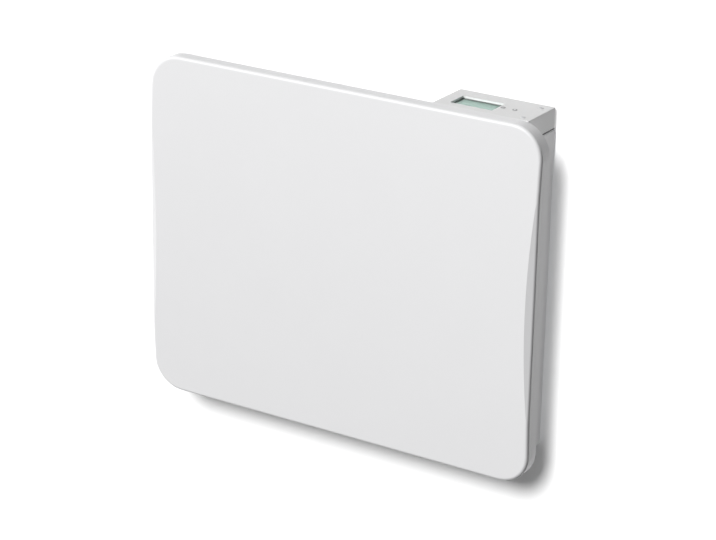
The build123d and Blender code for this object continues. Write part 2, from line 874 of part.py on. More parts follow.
with BuildPart() as power_relay:
    with BuildSketch(Plane.XY.offset(power_board_top)):
        with Locations((box_centre - relay_from_centre, -box_middle)):
            Rectangle(relay_length, relay_width)
    extrude(amount=relay_height)
save(power_relay, "power_relay")

with BuildPart() as filter_capacitor:
    with BuildSketch(Plane.XZ.offset(box_middle - capacitor_length / 2)):
        with Locations((box_centre - capacitor_from_centre, power_board_top + capacitor_radius)):
            Circle(capacitor_radius)
    extrude(amount=capacitor_length)
save(filter_capacitor, "filter_capacitor")

with BuildPart() as board_header:
    with BuildSketch(Plane.XY.offset(power_board_top)):
        with Locations((box_centre + header_from_centre, -box_middle)):
            Rectangle(header_width, header_length)
    extrude(amount=display_board_bottom - power_board_top)
save(board_header, "board_header")

# Grommet in the casing's top, through which the leads reach the boards
with BuildPart() as lead_grommet:
    for level, radius, height in (
        (inner_top - grommet_lip, grommet_bore + grommet_wall + grommet_flange, grommet_lip),
        (inner_top, grommet_bore + grommet_wall, box_floor_top - inner_top),
        (box_floor_top, grommet_bore + grommet_wall + grommet_flange, grommet_lip),
    ):
        with BuildSketch(Plane.XY.offset(level)):
            with Locations((duct_x, -duct_depth)):
                Circle(radius)
                Circle(grommet_bore, mode=Mode.SUBTRACT)
        extrude(amount=height)
save(lead_grommet, "lead_grommet")

# Mains terminal block on the rear panel
mains_x = duct_x - mains_offset

with BuildPart() as terminal_block:
    with BuildSketch(upright(casing_rear, (block_bottom + block_top) / 2)):
        with Locations((mains_x, 0)):
            Rectangle(block_width, block_height)
    extrude(amount=block_depth)
    with BuildSketch(upright(casing_rear + block_depth, (block_bottom + block_top) / 2)):
        with Locations((mains_x, 0)):
            with GridLocations(block_width / block_poles, block_height / 2, block_poles, 2):
                Circle(block_well)
    extrude(amount=-block_well_depth, mode=Mode.SUBTRACT)
save(terminal_block, "terminal_block")

# Cable gland in the casing's bottom, with its lock nut inside
with BuildPart() as cable_gland:
    with BuildSketch(Plane.XY.offset(casing_bottom)):
        with Locations((duct_x, -gland_depth)):
            Circle(gland_bore + gland_wall + gland_collar)
            Circle(gland_bore, mode=Mode.SUBTRACT)
    extrude(amount=-gland_collar_height)
    with BuildSketch(Plane.XY.offset(casing_bottom)):
        with Locations((duct_x, -gland_depth)):
            Circle(gland_bore + gland_wall)
            Circle(gland_bore, mode=Mode.SUBTRACT)
    extrude(amount=gland_thread_length)
save(cable_gland, "cable_gland")

with BuildPart() as gland_nut:
    with BuildSketch(Plane.XY.offset(inner_bottom)):
        with Locations((duct_x, -gland_depth)):
            RegularPolygon(gland_bore + gland_wall + gland_collar, 6)
            Circle(gland_bore + gland_wall + screw_gap, mode=Mode.SUBTRACT)
    extrude(amount=gland_nut_height)
save(gland_nut, "gland_nut")

# Earth stud, welded to the panel, with its nut
earth_spot = (casing_side - stud_from_side, inner_bottom + stud_from_bottom)

with BuildPart() as earth_stud:
    with BuildSketch(upright(casing_rear)):
        with Locations(earth_spot):
            Circle(stud_radius)
    extrude(amount=stud_length)
save(earth_stud, "earth_stud")

with BuildPart() as earth_nut:
    with BuildSketch(upright(casing_rear)):
        with Locations(earth_spot):
            RegularPolygon(2 * stud_radius, 6)
            Circle(stud_radius + screw_gap, mode=Mode.SUBTRACT)
    extrude(amount=2 * stud_radius)
save(earth_nut, "earth_nut")

# Room sensor low in the casing, in a clip on its side wall
sensor_x = inner_side - sensor_from_side
sensor_bottom = inner_bottom + sensor_height

with BuildPart() as room_sensor:
    with BuildSketch(Plane.XY.offset(sensor_bottom)):
        with Locations((sensor_x, -duct_depth)):
            Circle(2 * sensor_radius)
    extrude(amount=sensor_length)
save(room_sensor, "room_sensor")

with BuildPart() as sensor_clip:
    with BuildSketch(Plane.XY.offset(sensor_bottom + sensor_length / 4)):
        with Locations(((sensor_x + inner_side) / 2, -duct_depth)):
            Rectangle(sensor_from_side, clip_stalk)
        with Locations((sensor_x, -duct_depth)):
            Circle(2 * sensor_radius + clip_wall)
            Circle(2 * sensor_radius + clip_gap, mode=Mode.SUBTRACT)
    extrude(amount=sensor_length / 2)
save(sensor_clip, "sensor_clip")

# Leads: round wires along straight runs joined by tangent bends
def lead(label, radius, points):
    """Sweep one lead, each bend as large as its two runs allow."""
    places = [Vector(*point) for point in points]
    runs = [(b - a) for a, b in zip(places, places[1:])]
    bends = []
    for before, after in zip(runs, runs[1:]):
        half_turn = radians(before.get_angle(after)) / 2
        bends.append(0.45 * min(before.length, after.length) / tan(half_turn))
    with BuildPart() as wire:
        with BuildLine() as path:
            FilletPolyline(*places, radius=bends)
        with BuildSketch(Plane(origin=path.line @ 0, z_dir=path.line % 0)):
            Circle(radius)
        sweep()
    save(wire, label)


lead_x = duct_x + lead_offset_x
sensor_lead_x = duct_x + sensor_offset
terminal_x = element_end + terminal_length

lead(
    "mains_lead",
    mains_radius,
    [
        (mains_x, -block_middle, block_top),
        (mains_x, -block_middle, block_top + mains_lead_start),
        (mains_x, -duct_depth, block_top + lead_rise),
        (mains_x, -duct_depth, power_board_bottom),
    ],
)
for label, spot, y in (
    ("element_lead_top", terminal_spots[1], -duct_depth - lead_offset_y),
    ("element_lead_bottom", terminal_spots[0], -duct_depth + lead_offset_y),
):
    lead(
        label,
        lead_radius,
        [
            (terminal_x, *spot),
            (lead_x, *spot),
            (lead_x, y, spot[1] + lead_rise),
            (lead_x, y, power_board_bottom),
        ],
    )
sensor_top = sensor_bottom + sensor_length
lead(
    "sensor_lead",
    sensor_radius,
    [
        (sensor_x, -duct_depth, sensor_top),
        (sensor_x, -duct_depth, sensor_top + sensor_lead_start),
        (sensor_lead_x, -duct_depth, sensor_top + lead_rise),
        (sensor_lead_x, -duct_depth, power_board_bottom),
    ],
)

# Lead clips that stand on the panel and hold the mains lead
with BuildPart() as lead_clips:
    for height in clip_heights:
        with BuildSketch(Plane.XY.offset(height - clip_height / 2)):
            with Locations((mains_x, -(casing_rear + duct_depth) / 2)):
                Rectangle(clip_stalk, duct_depth - casing_rear)
            with Locations((mains_x, -casing_rear - clip_stalk / 2)):
                Rectangle(3 * clip_stalk, clip_stalk)
            with Locations((mains_x, -duct_depth)):
                Circle(mains_radius + clip_gap + clip_wall)
                Circle(mains_radius + clip_gap, mode=Mode.SUBTRACT)
        extrude(amount=clip_height)
save(lead_clips, "lead_clips")
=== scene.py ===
# %% [markdown]
# # A wall-hung ceramic radiator, dressed in Blender
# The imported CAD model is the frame: every sheet, casing and key comes in at its real place and
# size, in metres. This script gives each of them the finish of the real thing, and models the
# small pieces whose looks need more than the solid has: screw heads, a gasket, and the keys with
# their signs.

# %% Load the frame
import math

import bpy
from mathutils import Matrix, Vector


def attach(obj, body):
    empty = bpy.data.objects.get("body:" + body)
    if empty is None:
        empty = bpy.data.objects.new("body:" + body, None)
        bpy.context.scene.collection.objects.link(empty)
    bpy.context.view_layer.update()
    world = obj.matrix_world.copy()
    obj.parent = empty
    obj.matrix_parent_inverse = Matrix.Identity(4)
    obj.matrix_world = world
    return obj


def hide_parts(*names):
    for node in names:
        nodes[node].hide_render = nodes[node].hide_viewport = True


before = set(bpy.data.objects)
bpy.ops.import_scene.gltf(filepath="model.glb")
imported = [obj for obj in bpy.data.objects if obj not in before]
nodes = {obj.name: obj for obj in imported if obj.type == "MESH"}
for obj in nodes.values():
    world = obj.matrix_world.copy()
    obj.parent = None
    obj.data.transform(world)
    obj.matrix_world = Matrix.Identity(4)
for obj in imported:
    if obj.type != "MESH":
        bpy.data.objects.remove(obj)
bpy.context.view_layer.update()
MM = 0.001

# %% [markdown]
# Colours are written as sRGB hex values, the way a paint card gives them. Blender mixes light in
# linear values, so one function turns a hex value into the linear numbers that a shader wants.


# %% Colours
def linear(code):
    """Linear RGBA of an sRGB hex colour."""
    levels = [int(code[start : start + 2], 16) / 255 for start in (1, 3, 5)]
    return [c / 12.92 if c <= 0.04045 else ((c + 0.055) / 1.055) ** 2.4 for c in levels] + [1.0]


print("white as linear values", linear("#FFFFFF"))

# %% [markdown]
# A material is a small graph of nodes. One function adds a node, sets its values and joins its
# inputs, so that each finish below can be read from top to bottom as a recipe. An input is named
# by its label, or by its number where several inputs share a label.


# %% Material helpers
def add_node(material, kind, settings=None, **inputs):
    """Add a shader node; an input is a value or another node's socket."""
    node = material.node_tree.nodes.new(kind)
    for name, value in (settings or {}).items():
        setattr(node, name, value)
    for name, value in inputs.items():
        label = int(name[1:]) if name[1:].isdigit() else name.replace("_", " ")
        socket = node.inputs[label]
        if isinstance(value, bpy.types.NodeSocket):
            material.node_tree.links.new(value, socket)
        else:
            socket.default_value = value
    return node


def new_material(name):
    """An empty node material with its output."""
    material = bpy.data.materials.new(name)
    material.use_nodes = True
    material.node_tree.nodes.clear()
    add_node(material, "ShaderNodeOutputMaterial")
    return material


def finish_material(material, shader):
    """Join a shader to the material's output."""
    output = material.node_tree.nodes["Material Output"]
    material.node_tree.links.new(shader, output.inputs["Surface"])
    return material


def object_noise(material, size_mm, detail=2.0):
    """Noise in object space, whose blobs are about size_mm across."""
    place = add_node(material, "ShaderNodeTexCoord")
    return add_node(
        material,
        "ShaderNodeTexNoise",
        Vector=place.outputs["Object"],
        Scale=1 / (size_mm * MM),
        Detail=detail,
    )


# %% [markdown]
# The cover and the casing are sheet steel with a white powder coat. The powder melts into a skin
# that is even from a distance and slightly pebbled from close by, like orange peel, with grains
# of about a millimetre. It is satin: it shows soft highlights along the edges, but no mirror
# image. A picture of the paint would need unwrapping, so noise in object space draws the grain.
# Moulded plastic, rubber, ceramic and board use the same recipe with other grains.

# %% Painted, moulded and mineral finishes
PATCH_MM = 60
PATCH_DETAIL = 3.0
GRAIN_STRENGTH = 0.6
GRAIN_SHINE = 0.05
GRAINED = {
    # slot: (name, darker, lighter, grain in mm, relief in mm, roughness)
    "white_enamel": ("satin_white_powder_coat", "#ECECED", "#EEEEEF", 1.1, 0.012, 0.42),
    "grey_panel": ("matt_grey_powder_coat", "#A6A8AA", "#AFB1B3", 1.1, 0.02, 0.6),
    "white_plastic": ("moulded_white_abs", "#E6E6E6", "#E9E9E9", 0.5, 0.01, 0.45),
    "black_plastic": ("moulded_black_nylon", "#343435", "#3C3C3D", 0.4, 0.012, 0.5),
    "block_plastic": ("moulded_natural_nylon", "#DEDCD6", "#E6E4DE", 0.5, 0.01, 0.5),
    "black_rubber": ("moulded_black_rubber", "#1E1E1E", "#262626", 0.4, 0.012, 0.75),
    "lead_sleeve": ("extruded_silicone_sleeve", "#D8D6D0", "#E2E0DC", 0.6, 0.008, 0.55),
    "dark_keys": ("moulded_grey_key_abs", "#98989A", "#9E9EA0", 0.3, 0.006, 0.5),
    "pale_keys": ("moulded_pale_key_abs", "#D4D4D6", "#DADADC", 0.3, 0.006, 0.5),
    "core_ceramic": ("fired_unglazed_ceramic", "#DCD5C8", "#E8E2D8", 0.7, 0.04, 0.85),
    "mineral_board": ("pressed_mineral_board", "#D8D2C4", "#E6E1D6", 0.9, 0.06, 0.9),
    "board_green": ("printed_green_solder_resist", "#357A50", "#45875F", 0.8, 0.006, 0.35),
}


def surface(name, dark, light, grain_mm, bump_mm, roughness):
    """A finish with colour that drifts in wide patches and a relief of fine grains."""
    material = new_material(name)
    drift = object_noise(material, PATCH_MM, PATCH_DETAIL)
    colour = add_node(
        material,
        "ShaderNodeMix",
        {"data_type": "RGBA"},
        _0=drift.outputs["Fac"],
        _6=linear(dark),
        _7=linear(light),
    )
    grain = object_noise(material, grain_mm)
    relief = add_node(
        material,
        "ShaderNodeBump",
        Strength=GRAIN_STRENGTH,
        Distance=bump_mm * MM,
        Height=grain.outputs["Fac"],
    )
    shine = add_node(
        material,
        "ShaderNodeMapRange",
        _0=grain.outputs["Fac"],
        _3=roughness - GRAIN_SHINE,
        _4=roughness + GRAIN_SHINE,
    )
    shader = add_node(
        material,
        "ShaderNodeBsdfPrincipled",
        Base_Color=colour.outputs["Result"],
        Roughness=shine.outputs["Result"],
        Normal=relief.outputs["Normal"],
    )
    return finish_material(material, shader.outputs["BSDF"])


finishes = {slot: surface(*recipe) for slot, recipe in GRAINED.items()}
print("grained finishes", len(finishes))

# %% [markdown]
# Metal shows what was done to it. Zinc plating leaves pale crystals some millimetres across, and
# rolled or drawn metal keeps fine streaks along the way that it went through the rolls. Voronoi
# cells give the crystals, and noise that is stretched along X gives the streaks.

# %% Metal finishes
STREAK_STRETCH = 0.04
STREAK_DETAIL = 3.0
STREAK_SHINE = 0.1
STREAK_STRENGTH = 0.4
STREAK_DEPTH_MM = 0.005
METALS = {
    # slot: (name, darker, lighter, crystal in mm, streak in mm, roughness)
    "zinc_steel": ("zinc_plated_steel", "#B9BCC0", "#D4D6D8", 4, 0.6, 0.38),
    "steel_screws": ("zinc_plated_screw", "#B4B6BA", "#CDCFD2", 1, 0.3, 0.32),
    "element_sheath": ("heat_tinted_tube", "#84796C", "#A2978C", 6, 0.5, 0.45),
    "reflector_foil": ("rolled_aluminium", "#E2E3E5", "#EEEFF0", 9, 0.8, 0.25),
}


def metal_surface(name, dark, light, crystal_mm, streak_mm, roughness):
    """Bare metal with crystals and with fine streaks along X."""
    material = new_material(name)
    place = add_node(material, "ShaderNodeTexCoord")
    crystals = add_node(
        material,
        "ShaderNodeTexVoronoi",
        Vector=place.outputs["Object"],
        Scale=1 / (crystal_mm * MM),
    )
    colour = add_node(
        material,
        "ShaderNodeMix",
        {"data_type": "RGBA"},
        _0=crystals.outputs["Color"],
        _6=linear(dark),
        _7=linear(light),
    )
    drawn = add_node(
        material,
        "ShaderNodeMapping",
        Vector=place.outputs["Object"],
        Scale=(STREAK_STRETCH, 1, 1),
    )
    streaks = add_node(
        material,
        "ShaderNodeTexNoise",
        Vector=drawn.outputs["Vector"],
        Scale=1 / (streak_mm * MM),
        Detail=STREAK_DETAIL,
    )
    shine = add_node(
        material,
        "ShaderNodeMapRange",
        _0=streaks.outputs["Fac"],
        _3=roughness - STREAK_SHINE,
        _4=roughness + STREAK_SHINE,
    )
    relief = add_node(
        material,
        "ShaderNodeBump",
        Strength=STREAK_STRENGTH,
        Distance=STREAK_DEPTH_MM * MM,
        Height=streaks.outputs["Fac"],
    )
    shader = add_node(
        material,
        "ShaderNodeBsdfPrincipled",
        Base_Color=colour.outputs["Result"],
        Metallic=1.0,
        Roughness=shine.outputs["Result"],
        Normal=relief.outputs["Normal"],
    )
    return finish_material(material, shader.outputs["BSDF"])


for slot, recipe in METALS.items():
    finishes[slot] = metal_surface(*recipe)
print("metal finishes", len(METALS))

# %% [markdown]
# The display's glass is grey green, with the faint grid of its cells. Painted shade makes it
# darker towards the wall and paler towards the room: a ramp along Y draws that shade, and a brick
# pattern without an offset gives the grid, whose lines are finer on the real thing than a render
# can show.

# %% Display glass
CELL_MM = 1.4
CELL_LINE = 0.04
DISPLAY_BACK_MM = -29.5
DISPLAY_FRONT_MM = -60.5
GLASS_ROUGHNESS = 0.25

display = new_material("liquid_crystal_glass")
place = add_node(display, "ShaderNodeTexCoord")
axes = add_node(display, "ShaderNodeSeparateXYZ", Vector=place.outputs["Object"])
# Painted shade: the glass gets darker along Y towards the wall.
painted_shade_ramp = add_node(
    display,
    "ShaderNodeMapRange",
    _0=axes.outputs["Y"],
    _1=DISPLAY_BACK_MM * MM,
    _2=DISPLAY_FRONT_MM * MM,
)
tint = add_node(
    display,
    "ShaderNodeMix",
    {"data_type": "RGBA"},
    _0=painted_shade_ramp.outputs["Result"],
    _6=linear("#7FA699"),
    _7=linear("#BFDDD4"),
)
cells = add_node(
    display,
    "ShaderNodeTexBrick",
    {"offset": 0.0},
    Vector=place.outputs["Object"],
    Color1=linear("#FFFFFF"),
    Color2=linear("#FFFFFF"),
    Mortar=linear("#F7F7F7"),
    Scale=1 / (CELL_MM * MM),
    Mortar_Size=CELL_LINE,
    Brick_Width=1.0,
    Row_Height=1.0,
)
inked = add_node(
    display,
    "ShaderNodeMix",
    {"data_type": "RGBA", "blend_type": "MULTIPLY"},
    _0=1.0,
    _6=tint.outputs["Result"],
    _7=cells.outputs["Color"],
)
glass = add_node(
    display,
    "ShaderNodeBsdfPrincipled",
    Base_Color=inked.outputs["Result"],
    Roughness=GLASS_ROUGHNESS,
)
finishes["display_glass"] = finish_material(display, glass.outputs["BSDF"])
print("display cells of", CELL_MM, "mm")

# %% [markdown]
# The pane over the display is clear acrylic, polished and a little smeared. Real refraction would
# take many light bounces and darken the display, so the pane is see-through with a reflection
# that Fresnel makes grow as the eye gets lower. On the pane's inner side Fresnel would reflect
# everything, so only its outer side reflects.

# %% Clear pane
SMEAR_MM = 12
PANE_ROUGHNESS = (0.04, 0.12)
ACRYLIC_IOR = 1.49

pane = new_material("polished_clear_pane")
smear = object_noise(pane, SMEAR_MM)
haze = add_node(
    pane,
    "ShaderNodeMapRange",
    _0=smear.outputs["Fac"],
    _3=PANE_ROUGHNESS[0],
    _4=PANE_ROUGHNESS[1],
)
through = add_node(pane, "ShaderNodeBsdfTransparent", Color=linear("#F3FAF8"))
mirror = add_node(pane, "ShaderNodeBsdfGlossy", Roughness=haze.outputs["Result"])
bend = add_node(pane, "ShaderNodeFresnel", IOR=ACRYLIC_IOR)
facing = add_node(pane, "ShaderNodeNewGeometry")
outside = add_node(
    pane,
    "ShaderNodeMath",
    {"operation": "SUBTRACT"},
    _0=1.0,
    _1=facing.outputs["Backfacing"],
)
shine = add_node(
    pane,
    "ShaderNodeMath",
    {"operation": "MULTIPLY"},
    _0=bend.outputs["Fac"],
    _1=outside.outputs[0],
)
seen_pane = add_node(
    pane,
    "ShaderNodeMixShader",
    _0=shine.outputs[0],
    _1=through.outputs[0],
    _2=mirror.outputs[0],
)
finishes["clear_window"] = finish_material(pane, seen_pane.outputs[0])
print("finishes", len(finishes))

# %% [markdown]
# Each CAD node comes in with a plain material that is named for its slot in the record. Its shape
# is right, so it stays, and only the material in each slot is changed for the real finish.

# %% Dress the CAD nodes
for piece in nodes.values():
    for slot in piece.material_slots:
        slot.material = finishes[slot.material.name]
print("dressed", len(nodes), "nodes")

# %% [markdown]
# The small pieces come next. They are made as by hand: a primitive is added at its size, shaped
# and finished with modifiers that are applied. Everything is deselected first, because the
# operators act on all that is selected. The helpers take millimetres, as the CAD model does.

# %% Modelling helpers
SMOOTH_ANGLE = math.radians(35)


def only(piece):
    """Select one piece alone and make it active."""
    bpy.ops.object.select_all(action="DESELECT")
    piece.select_set(True)
    bpy.context.view_layer.objects.active = piece


def named_in_place(name):
    """Name the new object and put its place and size in its mesh."""
    bpy.context.object.name = name
    bpy.ops.object.transform_apply(location=True, rotation=True, scale=True)
    return bpy.context.object


def cylinder(name, radius, bottom, top, x=0.0, y=0.0, sides=48):
    """A cylinder between two heights, in mm."""
    bpy.ops.object.select_all(action="DESELECT")
    bpy.ops.mesh.primitive_cylinder_add(
        vertices=sides,
        radius=radius * MM,
        depth=(top - bottom) * MM,
        location=(x * MM, y * MM, (bottom + top) / 2 * MM),
    )
    return named_in_place(name)


def block(name, size, middle, turn=0.0):
    """A box of a size around its middle, in mm, turned about Z."""
    bpy.ops.object.select_all(action="DESELECT")
    bpy.ops.mesh.primitive_cube_add(
        size=1,
        location=[c * MM for c in middle],
        rotation=(0, 0, turn),
        scale=[c * MM for c in size],
    )
    return named_in_place(name)


def copy_at(piece, place, tilt=0.0):
    """A copy with its own mesh, tilted about X and moved to a place in mm."""
    only(piece)
    bpy.ops.object.duplicate()
    bpy.context.object.rotation_euler = (tilt, 0, 0)
    bpy.context.object.location = [c * MM for c in place]
    return named_in_place(piece.name)


def apply_modifier(piece, kind, **settings):
    """Add a modifier with its settings and apply it."""
    only(piece)
    modifier = piece.modifiers.new(kind.lower(), kind)
    for name, value in settings.items():
        setattr(modifier, name, value)
    bpy.ops.object.modifier_apply(modifier=modifier.name)


def cut(piece, tool):
    """Cut one piece out of another."""
    apply_modifier(piece, "BOOLEAN", operation="DIFFERENCE", object=tool, solver="EXACT")
    bpy.data.objects.remove(tool)


def join(name, pieces):
    """Join pieces into one that is smooth where its faces nearly line up."""
    bpy.ops.object.select_all(action="DESELECT")
    for piece in pieces:
        piece.select_set(True)
    bpy.context.view_layer.objects.active = pieces[0]
    if len(pieces) > 1:
        bpy.ops.object.join()
    whole = bpy.context.view_layer.objects.active
    whole.name = name
    only(whole)
    bpy.ops.object.shade_smooth_by_angle(angle=SMOOTH_ANGLE)
    return whole


def finish_piece(piece, slot, body, *replaced):
    """Dress a new piece, let it ride on its body and hide the nodes that it stands for."""
    piece.data.materials.clear()
    piece.data.materials.append(finishes[slot])
    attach(piece, body)
    if replaced:
        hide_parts(*replaced)
    print(piece.name, len(piece.data.polygons), "faces")


# %% [markdown]
# Zinc-plated pan-head screws hold the cover and the rear panel from behind. A screw starts as a
# short cylinder. Its outer rim is bevelled into a dome, and two crossed blades are cut out of it.
# One screw is modelled, copies go to every hole, and each set is joined into one piece.

# %% Screws
HEAD_RADIUS = 3.0
HEAD_HEIGHT = 1.8
HEAD_ROUNDING = 0.8
HEAD_SIDES = 32
SHANK_RADIUS = 1.5
SHANK_LENGTH = 6.0
SHANK_OVERLAP = 0.01
SHANK_SIDES = 24
RECESS = (3.4, 0.75, 1.1)
COVER_SEAT_DEPTH = 72
COVER_SIDE_X = 267
COVER_ROW = 177
COVER_END_Z = 217
PANEL_SEAT_DEPTH = 5
PANEL_SIDE_X = 239.5
PANEL_ROW = 197.5
PANEL_MIDDLE_Z = -4.5

cover_screws = [(side * COVER_SIDE_X, row * COVER_ROW) for side in (-1, 1) for row in (-1, 0, 1)]
cover_screws += [(column * COVER_ROW, -COVER_END_Z) for column in (-1, 0, 1)]
cover_screws += [(column * COVER_ROW, COVER_END_Z) for column in (-1, 0)]
panel_screws = [
    (side * PANEL_SIDE_X, row * PANEL_ROW + PANEL_MIDDLE_Z)
    for side in (-1, 1)
    for row in (-1, 0, 1)
]
panel_screws += [(0, row * PANEL_ROW + PANEL_MIDDLE_Z) for row in (-1, 1)]

head = cylinder("head", HEAD_RADIUS, 0, HEAD_HEIGHT, sides=HEAD_SIDES)
apply_modifier(head, "BEVEL", width=HEAD_ROUNDING * MM, segments=4, limit_method="ANGLE")
for turn in (0, math.radians(90)):
    cut(head, block("blade", RECESS, (0, 0, HEAD_HEIGHT), turn))
shank = cylinder("shank", SHANK_RADIUS, -SHANK_LENGTH, SHANK_OVERLAP, sides=SHANK_SIDES)
screw = join("screw", [head, shank])


def screw_set(name, spots, seat_depth, node):
    """Screws at their holes, with their heads towards the wall."""
    screws = [copy_at(screw, (x, -seat_depth, z), -math.radians(90)) for x, z in spots]
    finish_piece(join(name, screws), "steel_screws", "heater", node)


screw_set("cover_screw_heads", cover_screws, COVER_SEAT_DEPTH, "cover_screws")
screw_set("panel_screw_heads", panel_screws, PANEL_SEAT_DEPTH, "panel_screws")
bpy.data.objects.remove(screw)

# %% [markdown]
# A dark line runs around the control box where it stands on the casing. It is painted shade: the
# edge of a thin strip of black rubber stands a little out of the joint, where the seam's shade
# falls. Only that edge can be seen, so four bars and a round disc at each corner of the box make
# it.

# %% Painted shade strip under the control box
BOX_X = (117.5, 245.5)
BOX_Y = (-71.7, -6.0)
BOX_FOOT = 199.0
JOINT_SHADE_HEIGHT = 1.1
JOINT_SHADE_PROUD = 0.12
JOINT_SHADE_BAND = 0.4
JOINT_SHADE_CORNER = 2.1

middle_x = sum(BOX_X) / 2
middle_y = sum(BOX_Y) / 2
half_x = (BOX_X[1] - BOX_X[0]) / 2 + JOINT_SHADE_PROUD
half_y = (BOX_Y[1] - BOX_Y[0]) / 2 + JOINT_SHADE_PROUD
level = BOX_FOOT + JOINT_SHADE_HEIGHT / 2
side_bar = (JOINT_SHADE_BAND, 2 * (half_y - JOINT_SHADE_CORNER), JOINT_SHADE_HEIGHT)
end_bar = (2 * (half_x - JOINT_SHADE_CORNER), JOINT_SHADE_BAND, JOINT_SHADE_HEIGHT)
corner = cylinder("corner", JOINT_SHADE_CORNER, BOX_FOOT, BOX_FOOT + JOINT_SHADE_HEIGHT)
bars = []
for way in (-1, 1):
    bar_x = middle_x + way * (half_x - JOINT_SHADE_BAND / 2)
    bar_y = middle_y + way * (half_y - JOINT_SHADE_BAND / 2)
    bars.append(block("bar", side_bar, (bar_x, middle_y, level)))
    bars.append(block("bar", end_bar, (middle_x, bar_y, level)))
    for end in (-1, 1):
        corner_x = middle_x + way * (half_x - JOINT_SHADE_CORNER)
        corner_y = middle_y + end * (half_y - JOINT_SHADE_CORNER)
        bars.append(copy_at(corner, (corner_x, corner_y, 0)))
bpy.data.objects.remove(corner)
# The black rubber strip is painted shade along the joint under the box.
finish_piece(join("box_joint_painted_shade", bars), "black_rubber", "heater")

# %% [markdown]
# The four keys are round caps with a rounded rim and a shallow dish for the fingertip. A large
# ball cuts the dish, which gives it the even curve that a mould has. One cap is modelled and
# copied to each place.

# %% Key caps
KEY_RADIUS = 3.0
KEY_SIDES = 64
KEY_FOOT = 222.7
KEY_RIM = 225.45
RIM_ROUNDING = 0.35
DISH_DEPTH = 0.12
DISH_RADIUS = 8.0
KEYS = {
    # key: (x, y, slot of the cap, slot of the sign)
    "key_power": (195.8, -43.55, "dark_keys", "white_plastic"),
    "key_mode": (211.3, -43.55, "dark_keys", "white_plastic"),
    "key_plus": (233.0, -19.55, "pale_keys", "dark_keys"),
    "key_minus": (233.0, -63.55, "pale_keys", "dark_keys"),
}

cap = cylinder("cap", KEY_RADIUS, KEY_FOOT, KEY_RIM, sides=KEY_SIDES)
apply_modifier(cap, "BEVEL", width=RIM_ROUNDING * MM, segments=3, limit_method="ANGLE")
bpy.ops.object.select_all(action="DESELECT")
bpy.ops.mesh.primitive_uv_sphere_add(
    segments=KEY_SIDES,
    ring_count=KEY_SIDES,
    radius=DISH_RADIUS * MM,
    location=(0, 0, (KEY_RIM - DISH_DEPTH + DISH_RADIUS) * MM),
)
cut(cap, bpy.context.object)
for key, (x, y, cap_slot, _) in KEYS.items():
    finish_piece(join(key + "_cap", [copy_at(cap, (x, y, 0))]), cap_slot, key, key)
bpy.data.objects.remove(cap)

# %% [markdown]
# The signs stand a hair proud of the dish: a broken ring with a bar for standby, three bars for
# the menu, a plus and a minus. On the real thing they are printed, but print would need a picture,
# so each stroke is a thin bar that is sunk in the cap. The ring is a row of short strokes.

# %% Signs on the keys
SIGN_LINE = 0.3
SIGN_LEVEL = 225.35
SIGN_HEIGHT = 0.28
SIGN_LENGTH = 2.4
MENU_LENGTH = 2.2
MENU_SPACING = 0.8
STANDBY_LENGTH = 1.4
STANDBY_RISE = 0.9
RING_RADIUS = 1.2
RING_STEPS = 18
RING_OVERLAP = 1.1


def standby_bars():
    """A bar at the top of a ring that is open around it."""
    bars = [(0, STANDBY_RISE, SIGN_LINE, STANDBY_LENGTH, 0)]
    stroke = 2 * math.pi * RING_RADIUS / RING_STEPS * RING_OVERLAP
    for step in range(2, RING_STEPS - 1):
        angle = 2 * math.pi * step / RING_STEPS + math.pi / 2
        ring_x = RING_RADIUS * math.cos(angle)
        ring_y = RING_RADIUS * math.sin(angle)
        bars.append((ring_x, ring_y, SIGN_LINE, stroke, angle))
    return bars


# key: its strokes as (x, y, length along X, length along Y, turn) around the key
SIGNS = {
    "key_power": standby_bars(),
    "key_mode": [(0, row * MENU_SPACING, MENU_LENGTH, SIGN_LINE, 0) for row in (-1, 0, 1)],
    "key_plus": [(0, 0, SIGN_LENGTH, SIGN_LINE, 0), (0, 0, SIGN_LINE, SIGN_LENGTH, 0)],
    "key_minus": [(0, 0, SIGN_LENGTH, SIGN_LINE, 0)],
}
for key, (x, y, _, sign_slot) in KEYS.items():
    strokes = [
        block("stroke", (width, depth, SIGN_HEIGHT), (x + dx, y + dy, SIGN_LEVEL), turn)
        for dx, dy, width, depth, turn in SIGNS[key]
    ]
    finish_piece(join(key + "_sign", strokes), sign_slot, key)

# %% [markdown]
# The photograph shows the heater alone on a white wall, with a soft shade close around it, to its
# right and below. The stage is a wall right behind it and a pale floor. A camera, a gloss and a
# clear pane see white paper that keeps the shade. All other light that bounces is a set grey, so
# the white around the heater doesn't flood it. Wall and floor show only from their front and hide
# no lamp, so that the back and the underside can be seen too.

# %% Stage
WALL_BOUNCE = 0.14
FLOOR_BOUNCE = 0.06
WALL_SIZE = 12.0
FLOOR_DROP = 0.75
WALL_CLEARANCE = 0.0005
PAPER_GLOW = 0.02


def either(material, first, second):
    """The larger of two values."""
    larger = add_node(material, "ShaderNodeMath", {"operation": "MAXIMUM"}, _0=first, _1=second)
    return larger.outputs[0]


def seen_rays(material):
    """One for the rays that see the background: from the camera, in a gloss or through glass."""
    ray = add_node(material, "ShaderNodeLightPath").outputs
    direct = either(material, ray["Is Camera Ray"], ray["Is Glossy Ray"])
    return either(material, direct, ray["Is Transmission Ray"])


def lit_paper(material):
    """White that keeps the shadow of the lamps."""
    paint = add_node(material, "ShaderNodeBsdfDiffuse", Color=linear("#F4F4F4"))
    glow = add_node(material, "ShaderNodeEmission", Strength=PAPER_GLOW)
    paper = add_node(material, "ShaderNodeAddShader", _0=paint.outputs[0], _1=glow.outputs[0])
    return paper.outputs[0]


